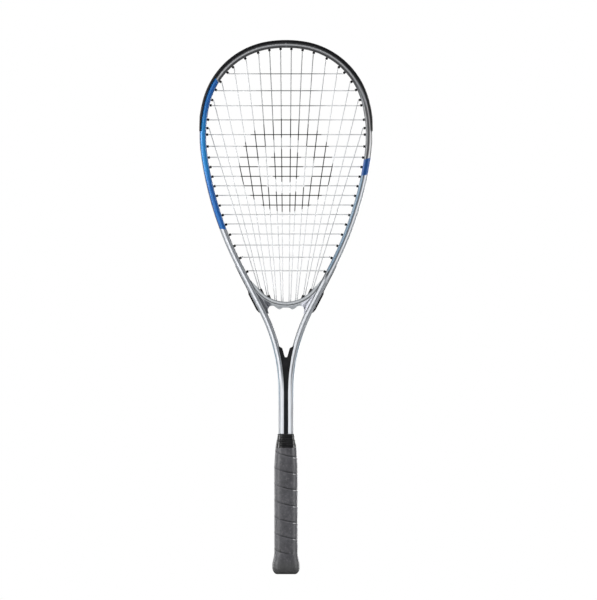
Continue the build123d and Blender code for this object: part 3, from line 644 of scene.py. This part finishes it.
def knot(end, ahead, size):
    """A small overhand knot: the string wound twice round its own end."""
    ahead = ahead.normalized()
    across = ahead.orthogonal().normalized()
    up = ahead.cross(across)
    points = []
    for i in range(40):
        a = i / 39 * 4 * math.pi
        r = size * (0.62 + 0.38 * math.sin(i / 39 * math.pi))
        ring = across * math.cos(a) + up * math.sin(a)
        points.append(end + ahead * (0.5 * math.cos(a * 0.5)) + ring * r * 0.75)
    return points


def string_piece(name, route, node, mat, knots):
    verts, faces, marks = [], [], []
    tube(eased(route), STRING_R, 10, verts, faces, marks)
    for end, ahead in knots:
        tube(knot(end, ahead, 1.0), STRING_R * 0.85, 8, verts, faces, marks)
    o = piece(name, verts, faces, mat)
    point_attribute(o, "run", marks)
    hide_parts(node)
    return o


# ------------------------------------------------------------------ grip
def handle_radius(theta, x, y, bevel=None, power=10.0):
    """Distance to a rounded octagon whose flats are x and y from the axis."""
    if bevel is None:
        bevel = 15.47 + (x - 15.0) * 0.67 + (y - 13.3) * 0.743
    planes = [(1, 0, x), (-1, 0, x), (0, 1, y), (0, -1, y)]
    planes += [(i * 0.67, j * 0.743, bevel) for i in (-1, 1) for j in (-1, 1)]
    c, s = math.cos(theta), math.sin(theta)
    total = sum((max(0.0, (c * nx + s * ny) / d)) ** power for nx, ny, d in planes)
    return total ** (-1 / power)


def smooth(t):
    t = min(1.0, max(0.0, t))
    return t * t * (3 - 2 * t)


def grip_grow(z):
    """How much the grip stands out from its straight part, in x and y, at a height."""
    flare = 2.6 * (1 - smooth((z - 11.5) / 17.0))
    if z < 9.0:
        t = (9.0 - z) / 9.0
        flare -= 7.0 * (1 - math.sqrt(max(0.0, 1 - t ** 2.2)))
    top = max(0.0, (z - 140.0) / 23.0)
    return flare - 1.4 * top, flare - 1.15 * top ** 1.3


def build_grip():
    low, high, pitch, around, rows = 0.9, 163.0, 21.0, 128, 560
    verts, faces, marks = [], [], []
    for i in range(rows + 1):
        z = low + (high - low) * i / rows
        gx, gy = grip_grow(z)
        for k in range(around):
            a = 2 * math.pi * k / around
            r = handle_radius(a, 15.0 + gx, 13.3 + gy)
            # height climbs anticlockwise from above: seams fall to the right on the front
            swing = a + math.pi / 2
            turn = ((z - 152.0) / pitch + swing / (2 * math.pi) - 0.12 * (1 - math.cos(swing))) % 1.0
            keep = smooth((z - 23.0) / 6.0)
            lip = -0.60 * math.exp(-(turn / 0.05) ** 2) - 0.20 * math.exp(-((1 - turn) / 0.012) ** 2)
            pillow = 0.16 * math.sin(math.pi * turn) ** 0.6
            overlap = 0.22 * smooth((turn - 0.86) / 0.08)
            r += (lip + pillow + overlap - 0.15) * keep
            if keep <= 0.5:
                turn = 0.5
            verts.append((r * math.cos(a) * MM, r * math.sin(a) * MM, z * MM))
            marks.append((z * MM, turn, 0.0))
    for i in range(rows):
        for k in range(around):
            j = (k + 1) % around
            faces.append((i * around + k, i * around + j, (i + 1) * around + j, (i + 1) * around + k))
    # the wrap turns in over the butt's edge and at its top
    for ring, z, shrink in ((0, 0.7, 1.6), (rows * around, 162.6, 1.0)):
        start = len(verts)
        for k in range(around):
            x, y = verts[ring + k][:2]
            r = math.hypot(x, y)
            f = (r - shrink * MM) / r
            verts.append((x * f, y * f, z * MM))
            marks.append((z * MM, 0.5, 0.0))
        for k in range(around):
            j = (k + 1) % around
            quad = (start + k, start + j, ring + j, ring + k)
            faces.append(quad if ring == 0 else quad[::-1])
    o = piece("grip_wrap_wound", verts, faces, grip_material())
    point_attribute(o, "run", marks)
    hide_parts("grip_wrap")
    return o


def build_collar():
    """The rubber collar: eight-sided at its foot, round-cornered at the shafts, with soft creases."""
    low, high, around, rows = 162.4, 180.2, 160, 90
    verts, faces = [], []
    for i in range(rows + 1):
        t = i / rows
        z = low + (high - low) * t
        ease = smooth(t * 0.9 + 0.05)
        x, y = 13.25 + (10.35 - 13.25) * ease, 12.1 + (10.2 - 12.1) * ease
        for k in range(around):
            a = 2 * math.pi * k / around
            r = handle_radius(a, x + 0.2, y + 0.1, 14.9 + (12.75 - 14.9) * ease, 13.0)
            crease = math.sin(z * 1.9 + 1.3 * math.sin(2 * a + 0.6)) * math.sin(z * 0.55 + 2.0 * a)
            front = max(0.0, -math.sin(a)) ** 2 + 0.35
            bulge = math.sin(math.pi * min(1.0, t * 1.1))
            r += 0.22 * crease * front * bulge + 0.25 * math.exp(-((t - 1.0) / 0.06) ** 2)
            verts.append((r * math.cos(a) * MM, r * math.sin(a) * MM, z * MM))
    for i in range(rows):
        for k in range(around):
            j = (k + 1) % around
            faces.append((i * around + k, i * around + j, (i + 1) * around + j, (i + 1) * around + k))
    start = len(verts)
    for k in range(around):
        x, y, z = verts[rows * around + k]
        f = 1 - 0.9 * MM / math.hypot(x, y)
        verts.append((x * f, y * f, (high - 0.5) * MM))
    for k in range(around):
        j = (k + 1) % around
        faces.append((rows * around + k, rows * around + j, start + j, start + k))
    rubber = plastic("collar_rubber", (0.001, 0.001, 0.0015), 0.26, 700.0, 0.12, 0.30, 0.04, 0.3)
    o = piece("collar_rubber", verts, faces, rubber)
    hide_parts("collar")


# ------------------------------------------------------------------ put it together
rail_attribute(nodes["frame_tube"])
dress(["frame_tube"], frame_paint())
dress(["throat_bridge"], bridge_paint())
black = plastic("black_nylon", (0.004, 0.004, 0.005), 0.40, shine=0.22)
dress(["bridge_grommets", "shaft_insert", "grommet_strip_left", "grommet_strip_right",
       "throat_strip_left", "throat_strip_right"], black)
bumper = plastic("bumper_nylon", (0.006, 0.006, 0.007), 0.55, 1500.0, 0.3, shine=0.15)
dress(["bumper_guard"], bumper)
dress(["finishing_tape"], plastic("vinyl_tape", (0.016, 0.016, 0.016), 0.4))
dress(["butt_cap"], plastic("cap_plastic", (0.030, 0.031, 0.030), 0.5))
dress(["butt_badge"], plastic("badge_plastic", (0.05, 0.05, 0.055), 0.3, 1200.0, 0.1, 0.4))
dress(["butt_cap_staples"], plastic("staple_steel", (0.5, 0.5, 0.5), 0.3))
foam = plastic("handle_foam", (0.30, 0.27, 0.22), 0.7)
dress(["handle_half_front", "handle_half_back"], foam)
white = string_material()
tie_ends = [
    (rail_point(side * tie_s, -MOUTH - 1.6, LANE + 0.4), Vector((-side, -0.3, 0))) for side in (-1, 1)
]
string_piece("main_string_woven", main_route(), "main_string", white, tie_ends)
string_piece("cross_string_woven", cross_route(), "cross_string", white, [])
build_grip()
build_collar()

# ------------------------------------------------------------------ stage, light, camera
def studio():
    mesh = bpy.data.meshes.new("floor")
    half, level = 6, -0.0004
    corners = [(x * half, y * half, level) for x, y in ((-1, -1), (1, -1), (1, 1), (-1, 1))]
    mesh.from_pydata(corners, [], [(0, 1, 2, 3)])
    floor = bpy.data.objects.new("floor", mesh)
    bpy.context.scene.collection.objects.link(floor)
    g = Graph("studio_floor")
    tone = g.noise(g.coords(), 6.0, 2.0)
    g.shader(Base_Color=g.mix(tone, (0.84, 0.84, 0.84), (0.88, 0.88, 0.88)), Roughness=0.7)
    mesh.materials.append(g.mat)

    world = bpy.data.worlds.new("studio")
    bpy.context.scene.world = world
    world.use_nodes = True
    tree = world.node_tree
    tree.nodes.clear()
    out = tree.nodes.new("ShaderNodeOutputWorld")
    mix = tree.nodes.new("ShaderNodeMixShader")
    seen = tree.nodes.new("ShaderNodeBackground")
    lit = tree.nodes.new("ShaderNodeBackground")
    path = tree.nodes.new("ShaderNodeLightPath")
    coord = tree.nodes.new("ShaderNodeTexCoord")
    split = tree.nodes.new("ShaderNodeSeparateXYZ")
    ramp = tree.nodes.new("ShaderNodeValToRGB")
    turn = tree.nodes.new("ShaderNodeMapRange")
    turn.inputs["From Min"].default_value = -1
    tree.links.new(coord.outputs["Generated"], split.inputs[0])
    tree.links.new(split.outputs["Z"], turn.inputs["Value"])
    tree.links.new(turn.outputs[0], ramp.inputs[0])
    ramp.color_ramp.elements[0].position = 0.0
    ramp.color_ramp.elements[0].color = (0.5, 0.5, 0.51, 1)
    ramp.color_ramp.elements[1].position = 1.0
    ramp.color_ramp.elements[1].color = (0.9, 0.91, 0.93, 1)
    tree.links.new(ramp.outputs[0], lit.inputs[0])
    lit.inputs[1].default_value = 0.34
    seen.inputs[0].default_value = (1, 1, 1, 1)
    seen.inputs[1].default_value = 1.0
    tree.links.new(path.outputs["Is Camera Ray"], mix.inputs[0])
    tree.links.new(lit.outputs[0], mix.inputs[1])
    tree.links.new(seen.outputs[0], mix.inputs[2])
    tree.links.new(mix.outputs[0], out.inputs[0])


def softbox(name, place, aim, size, power):
    data = bpy.data.lights.new(name, "AREA")
    data.shape = "RECTANGLE"
    data.size, data.size_y = size
    data.energy = power
    o = bpy.data.objects.new(name, data)
    o.location = place
    o.rotation_euler = (Vector(aim) - Vector(place)).to_track_quat("-Z", "Y").to_euler()
    bpy.context.scene.collection.objects.link(o)


VIEW_WIDTH, VIEW_X, VIEW_Z = 0.770411, 0.016050, 0.352078

studio()
middle = (0, 0, (cad_low.z + cad_high.z) / 2)
softbox("side_left", (-2.2, -1.15, 0.5), middle, (0.7, 1.6), 54)
softbox("side_right", (2.4, -0.7, 0.5), middle, (0.5, 1.6), 40)
softbox("front_left", (-0.85, -2.6, 0.45), middle, (0.5, 1.6), 10)
softbox("back_right", (1.3, 2.4, 0.6), middle, (0.7, 1.6), 34)
softbox("back_left", (-1.9, 1.5, 0.5), middle, (0.5, 1.6), 24)

camera_data = bpy.data.cameras.new("camera")
camera_data.type = "ORTHO"
camera = bpy.data.objects.new("camera", camera_data)
bpy.context.scene.collection.objects.link(camera)
camera_data.ortho_scale = VIEW_WIDTH
camera.location = (VIEW_X, -3.0, VIEW_Z)
camera.rotation_euler = (math.pi / 2, 0, 0)
camera_data.clip_start, camera_data.clip_end = 0.1, 30
bpy.context.scene.camera = camera
bpy.context.scene.view_settings.view_transform = "Standard"
